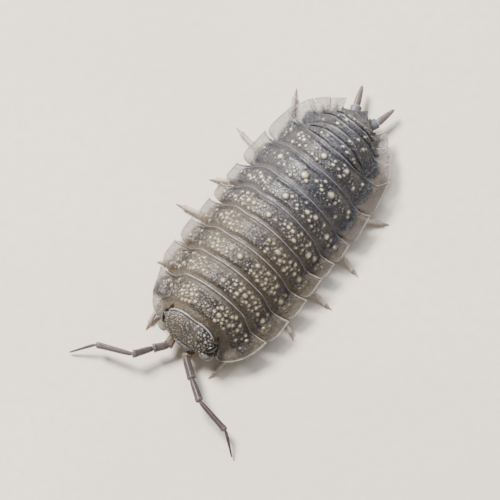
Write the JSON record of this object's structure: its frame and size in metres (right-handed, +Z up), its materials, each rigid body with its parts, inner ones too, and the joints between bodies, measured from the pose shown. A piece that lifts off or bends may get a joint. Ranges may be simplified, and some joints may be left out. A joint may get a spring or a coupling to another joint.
{
  "type": "woodlouse",
  "caption": "Wide-skirted woodlouse standing still: a flat oval body of warty overlapping back plates on short legs, with spread jointed feelers and short tail prongs.",
  "frame": {"origin": "on the floor, under the middle of the whole animal's box, feelers and legs counted", "axes": "+Z up, -Y the way the head points, +X the animal's own left side"},
  "size_m": [0.015, 0.0286, 0.0046],
  "materials": {
    "front_plate": "translucent taupe shell plate with ivory warts and a bluish-white hind rim",
    "rear_plate": "dark slate shell plate with ivory warts and a bluish sheen",
    "head": "dark grey shell with fine ivory granules",
    "eye": "glossy black compound eye",
    "feeler": "mauve grey, paler at the joints",
    "leg": "pale pinkish beige with orange-brown tips",
    "tail": "dark slate shell, pinkish beige side points",
    "uropod": "grey base with a white rim, pinkish-brown tip"
  },
  "bodies": {
    "root": {"antenna_left_base": "feeler", "antenna_left_fifth": "feeler", "antenna_left_fourth": "feeler", "antenna_left_third": "feeler", "antenna_left_whip": "feeler", "antenna_right_base": "feeler", "antenna_right_fifth": "feeler", "antenna_right_fourth": "feeler", "antenna_right_third": "feeler", "antenna_right_whip": "feeler", "eye_left": "eye", "eye_right": "eye", "head": "head", "leg_left_1": "leg", "leg_left_2": "leg", "leg_left_3": "leg", "leg_left_4": "leg", "leg_left_5": "leg", "leg_left_6": "leg", "leg_left_7": "leg", "leg_right_1": "leg", "leg_right_2": "leg", "leg_right_3": "leg", "leg_right_4": "leg", "leg_right_5": "leg", "leg_right_6": "leg", "leg_right_7": "leg", "plate_1": "front_plate", "plate_2": "front_plate", "plate_3": "front_plate", "plate_4": "front_plate", "plate_5": "rear_plate", "plate_6": "rear_plate", "plate_7": "rear_plate", "plate_8": "rear_plate", "pleon": "tail", "telson": "tail", "uropod_base_left": "uropod", "uropod_base_right": "uropod", "uropod_tip_left": "uropod", "uropod_tip_right": "uropod"}
  },
  "joints": []
}
